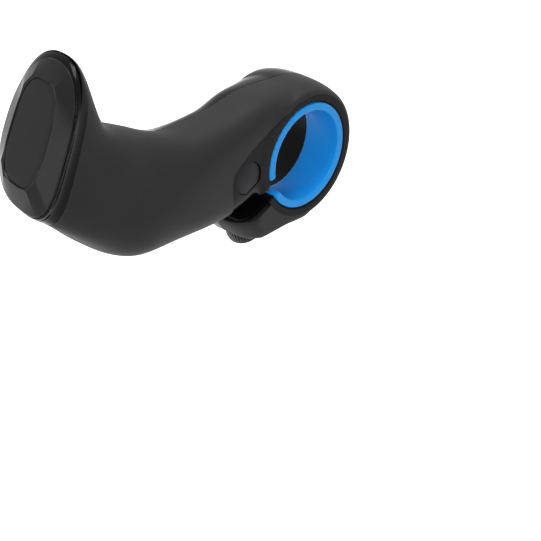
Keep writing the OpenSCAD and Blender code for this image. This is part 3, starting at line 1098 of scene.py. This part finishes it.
@dataclass
class Fastening:
    """Barrel nut, socket head bolt and washer."""

    nut_length: float = 14.0
    nut_sink: float = 0.3
    thread: float = 5.0
    pitch: float = 0.8
    bolt_length: float = 20.0
    head_radius: float = 4.25
    head_height: float = 5.0
    socket: float = 4.0
    socket_depth: float = 2.5
    knurls: int = 40

    def nut(self) -> bpy.types.Object:
        """A bar with one flat, chamfered at both ends and tapped across its middle."""
        z = SIZES
        high = z.half_width - self.nut_sink
        low = high - self.nut_length
        a = np.linspace(0, 2 * np.pi, 144, endpoint=False)
        rings = []
        for x, inset in ((low, 0.4), (low + 0.4, 0.0), (high - 0.25, 0.0), (high - 0.07, 0.07), (high, 0.25)):
            t = (4 - inset) * np.cos(a) + z.bolt_reach
            s = np.minimum((4 - inset) * np.sin(a), 3.4 - inset) + z.nut_place
            rings.append(np.stack([np.full(len(a), x), t, s], -1))
        nut = Surface.tube(np.array(rings)).moved(z.bolt_frame()).mesh("nut")
        hole = Surface.tube(disc_rings(np.array([[2.55, -8.0], [2.55, 8.0]])) + np.array([0, 0, z.nut_place]))
        carve(nut, hole.moved(z.at_bolt()))
        return place_piece(
            finished(nut, 30), "barrel_nut_body", "barrel_nut", Body.FRAME, CoatedSteel("nut_steel", Coating.PHOSPHATE)
        )

    def bolt(self) -> bpy.types.Object:
        """The bolt as one closed surface, from its tip along the thread and over the head into the socket.

        The thread's radius is 2.5 - 0.49 |2 f - 1| with f the fraction of s / pitch - angle / 360. The head's side is
        4.25 - 0.1 (1 + cos(40 a)) / 2. The socket's wall is 2 / cos(a), with a taken from the middle of each side.
        """
        z = SIZES
        a = np.linspace(0, 2 * np.pi, 240, endpoint=False)
        under = z.seat + 1.05
        tip = under - self.bolt_length
        s = np.concatenate([[tip], np.linspace(tip + 0.05, under - 1.4, 340)])
        turn = (s[:, None] / self.pitch - a[None] / (2 * np.pi)) % 1
        ease = np.clip((s[:, None] - tip) / 0.9, 0.0, 1.0)
        ease = np.minimum(ease, np.clip((under - 1.4 - s[:, None]) / 0.8, 0.0, 1.0) * 0.75 + 0.25)
        cut = 0.49 * np.clip(np.abs(2 * turn - 1) * 1.25 - 0.12, 0, 1)
        shank = self.thread / 2 - np.maximum(cut * ease, 0.45 * (1 - np.clip((s[:, None] - tip) / 0.5, 0, 1)))
        top = under + self.head_height
        knurl = self.head_radius - 0.1 * (1 + np.cos(self.knurls * a)) / 2
        side = (a + np.pi / 6) % (np.pi / 3) - np.pi / 6
        socket = self.socket / 2 / np.cos(side)
        round_ = np.ones_like(a)
        rows = [
            (2.5 * round_, under - 1.35), (2.5 * round_, under - 0.2), (2.7 * round_, under),
            (3.9 * round_, under), (4.05 * round_, under + 0.12), (4.1 * round_, under + 0.5),
            (knurl, under + 0.6), (knurl, top - 0.9), (4.12 * round_, top - 0.75), (4.1 * round_, top - 0.45),
            (4.0 * round_, top - 0.2), (3.75 * round_, top), (3.0 * round_, top), (socket + 0.22, top),
            (socket, top - 0.2), (socket, top - self.socket_depth), (0.6 * round_, top - self.socket_depth - 0.5),
        ]
        r = np.vstack([shank] + [row[None] for row, _ in rows])
        along = np.concatenate([s, [at for _, at in rows]])[:, None]
        rings = np.stack([r * np.cos(a), r * np.sin(a), np.broadcast_to(along, r.shape)], -1)
        bolt = finished(Surface.tube(rings).moved(z.at_bolt()).mesh("bolt"), 40)
        return place_piece(bolt, "clamp_bolt_body", "clamp_bolt", Body.BOLT, CoatedSteel("bolt_steel", Coating.OXIDE))

    def washer(self) -> bpy.types.Object:
        """A flat ring with rounded edges, turned about the bolt."""
        z = SIZES
        profile = rounded_corners([(2.6, z.seat, 0.12), (4.375, z.seat, 0.12), (4.375, z.seat + 1, 0.2), (2.6, z.seat + 1, 0.2)])
        rings = disc_rings(profile, 120).transpose(1, 0, 2)
        washer = finished(Surface.loop(rings).moved(z.at_bolt()).mesh("washer"), 40)
        finish = CoatedSteel("washer_steel", Coating.WASHER_OXIDE)
        return place_piece(washer, "bolt_washer_body", "bolt_washer", Body.WASHER, finish)


@dataclass
class EndCap:
    """Bevelled cap on the horn's end, with a bare plate let into it."""

    line: float = 0.4
    edge_height: float = 0.4
    height: float = 2.4
    bevel: float = 4.9
    plate_rim: float = 0.5
    plate_depth: float = 1.2
    plate_sink: float = 0.15
    glue: float = 0.1
    count: int = 240
    facet_room: float = 1.0
    facet_angles: tuple[float, ...] = (36, 63, 117, 144, 216, 243, 297, 324)

    def rim(self, grow: float) -> Array:
        """The horn's end outline, grown."""
        a = np.linspace(0, 2 * np.pi, self.count, endpoint=False)
        return np.stack(Horn.outline(HORN.stations[-1], a, grow), -1)

    def plate(self, grow: float) -> Array:
        """The plate's outline, grown."""
        rim = HORN.stations[-1]
        inset = self.bevel + self.plate_rim
        row = np.array([0, 0, 0, rim[3] - inset, rim[4] - inset, 3.0, 2.9, -0.04, 0.06, 0, 0, 0])
        a = np.linspace(0, 2 * np.pi, self.count, endpoint=False)
        return np.stack(Horn.outline(row, a, grow), -1)

    def facets(self) -> Array:
        """The bevel's inner line: straight between eight points round the plate, so that the bevel has facets."""
        a = np.linspace(0, 2 * np.pi, self.count, endpoint=False)
        corners = np.radians(self.facet_angles)
        line = self.plate(self.facet_room)[np.searchsorted(a, corners - 1e-6)]
        return np.stack([np.interp(a, corners, line[:, n], period=2 * np.pi) for n in (0, 1)], -1)

    @staticmethod
    def stacked(layers: list[tuple[Array, float]]) -> Array:
        """Rings from outlines and their heights."""
        return np.array([np.column_stack([outline, np.full(len(outline), z)]) for outline, z in layers])

    def build(self) -> list[bpy.types.Object]:
        """Cap and plate, each a stack of outlines from its hidden bottom to its top."""
        lip = 1.3 + self.glue
        bottom = self.glue - 3.0
        outer, inner = self.rim(-self.line), self.facets()
        floor = self.height - self.plate_depth

        def bevel(k: float, lift: float = 0.0) -> tuple[Array, float]:
            """The bevel at k of its width, straight between the two outlines."""
            return outer * (1 - k) + inner * k, self.edge_height + (self.height - self.edge_height) * k + lift

        layers = [
            (self.rim(-lip), bottom), (self.rim(-lip), 0.0), (self.rim(-self.line - 0.05), 0.0),
            (outer, 0.06), (outer, self.edge_height - 0.12), bevel(0.015, 0.0), bevel(0.04), bevel(0.3), bevel(0.6),
            bevel(0.95), bevel(0.985, -0.01), (inner, self.height - 0.01), (self.plate(0.3), self.height),
            (self.plate(0.17), self.height - 0.05), (self.plate(self.glue), self.height - 0.15),
            (self.plate(self.glue), floor),
        ]
        cap = Surface.tube(self.stacked(layers)).moved(HORN.at_rim()).mesh("cap")
        top = self.height - self.plate_sink
        face = [
            (self.plate(0.0), floor), (self.plate(0.0), top - 0.15), (self.plate(-0.05), top - 0.05),
            (self.plate(-0.15), top), (self.plate(-1.5), top + 0.02), (self.plate(-3.5), top + 0.05),
        ]
        plate = Surface.tube(self.stacked(face)).moved(HORN.at_rim()).mesh("plate")
        satin = CapPlastic("moulded satin ABS", "cap_plastic", "#161617", 0.2, 0.5, 0.004)
        etched = CapPlastic("moulded etched ABS", "badge_plastic", "#19191a", 0.5, 0.3, 0.02)
        return [
            place_piece(finished(cap, 11), "end_cap_body", "end_cap", Body.FRAME, satin),
            place_piece(finished(plate, 30), "badge_plate_body", "badge_plate", Body.FRAME, etched),
        ]


# Studio


@dataclass
class Studio:
    """White floor and surroundings, soft boxes and the camera."""

    floor_z: float = -160.0
    world_light: float = 0.15
    camera_at: tuple[float, float, float] = (566.885, -646.252, 461.120)
    camera_back: tuple[float, float, float] = (0.57266, -0.65001, 0.49955)
    lens: float = 275.3

    def build(self) -> None:
        """Makes the camera, the lights, the floor and the world."""
        self.camera()
        self.soft_box("overhead", (-0.05, 0.05, 0.7), (0.0, -0.02, 0.0), 0.4, 6.5)
        self.soft_box("front", (0.5, -0.6, 0.45), (0.0, -0.02, 0.0), 0.5, 3.2)
        self.soft_box("low left", (-0.2, -0.8, 0.12), (0.0, -0.05, 0.0), 0.35, 0.7)
        self.soft_box("right", (0.8, -0.05, 0.35), (0.0, -0.02, 0.0), 0.3, 0.7)
        self.floor()
        self.world()

    def camera(self) -> None:
        """The camera at the photograph's angle."""
        data = bpy.data.cameras.new("camera")
        data.lens = self.lens
        data.sensor_width = 36.0
        data.clip_start, data.clip_end = 0.05, 10.0
        camera = bpy.data.objects.new("camera", data)
        camera.location = Vector(self.camera_at) * MM
        camera.rotation_euler = Vector(self.camera_back).to_track_quat("Z", "Y").to_euler()
        bpy.context.scene.collection.objects.link(camera)
        bpy.context.scene.camera = camera

    @staticmethod
    def soft_box(name: str, at: tuple, towards: tuple, size: float, power: float) -> None:
        """A square lamp that faces a point."""
        data = bpy.data.lights.new(name, "AREA")
        data.size = size
        data.energy = power
        lamp = bpy.data.objects.new(name, data)
        lamp.location = at
        lamp.rotation_euler = (Vector(at) - Vector(towards)).to_track_quat("Z", "Y").to_euler()
        bpy.context.scene.collection.objects.link(lamp)

    @staticmethod
    def seen(tree: bpy.types.NodeTree) -> bpy.types.NodeSocket:
        """1 for rays from the camera, and for those that a gloss or a glass sends on, else 0."""
        path = add(tree, "LightPath")
        first = add(tree, "Math", {0: path.outputs["Is Camera Ray"], 1: path.outputs["Is Glossy Ray"]}, operation="ADD")
        both = add(tree, "Math", {0: first.outputs[0], 1: path.outputs["Is Transmission Ray"]}, operation="ADD")
        return add(tree, "Math", {0: both.outputs[0], 1: 1.0}, operation="MINIMUM").outputs[0]

    def floor(self) -> None:
        """A plain white floor that is lifted to white for the eye and keeps the shadow on it."""
        side = 4000.0
        corners = np.array([[-side, -side], [side, -side], [side, side], [-side, side]])
        floor = finished(prism(corners, self.floor_z - 10, self.floor_z, across=True).mesh("floor"))
        material = bpy.data.materials.new("white painted board")
        material.use_nodes = True
        tree = material.node_tree
        tree.nodes.clear()
        board = add(tree, "BsdfDiffuse", {"Color": linear("#d0d0d0")})
        lift = add(tree, "Emission", {"Color": (1, 1, 1, 1), "Strength": self.seen(tree)})
        both = add(tree, "AddShader", {0: board.outputs[0], 1: lift.outputs[0]})
        add(tree, "OutputMaterial", {"Surface": both.outputs[0]})
        floor.data.materials.append(material)

    def world(self) -> None:
        """White to the eye, and a soft grey light on the object."""
        world = bpy.data.worlds.new("studio")
        world.use_nodes = True
        tree = world.node_tree
        tree.nodes.clear()
        strength = add(tree, "MapRange", {0: self.seen(tree), 1: 0.0, 2: 1.0, 3: self.world_light, 4: 1.0})
        sky = add(tree, "Background", {"Color": (1, 1, 1, 1), "Strength": strength.outputs[0]})
        add(tree, "OutputWorld", {"Surface": sky.outputs[0]})
        bpy.context.scene.world = world


def report(piece: bpy.types.Object) -> None:
    """Logs a piece's name and size."""
    size = ", ".join(f"{v / MM:.1f}" for v in piece.dimensions)
    LOG.info("%s: %d faces, %s mm", piece.name, len(piece.data.polygons), size)


def main() -> None:
    """Builds the bar end and its studio, and logs each piece's faces and size."""
    logging.basicConfig(level=logging.INFO, format="%(asctime)s %(message)s")
    bpy.context.scene.view_settings.view_transform = "Standard"
    fastening = Fastening()
    for built in (
        Frame().build(), [Sleeve().build()], [fastening.nut(), fastening.bolt(), fastening.washer()], EndCap().build(),
    ):
        for piece in built:
            report(piece)
    Studio().build()


if __name__ == "__main__":
    main()
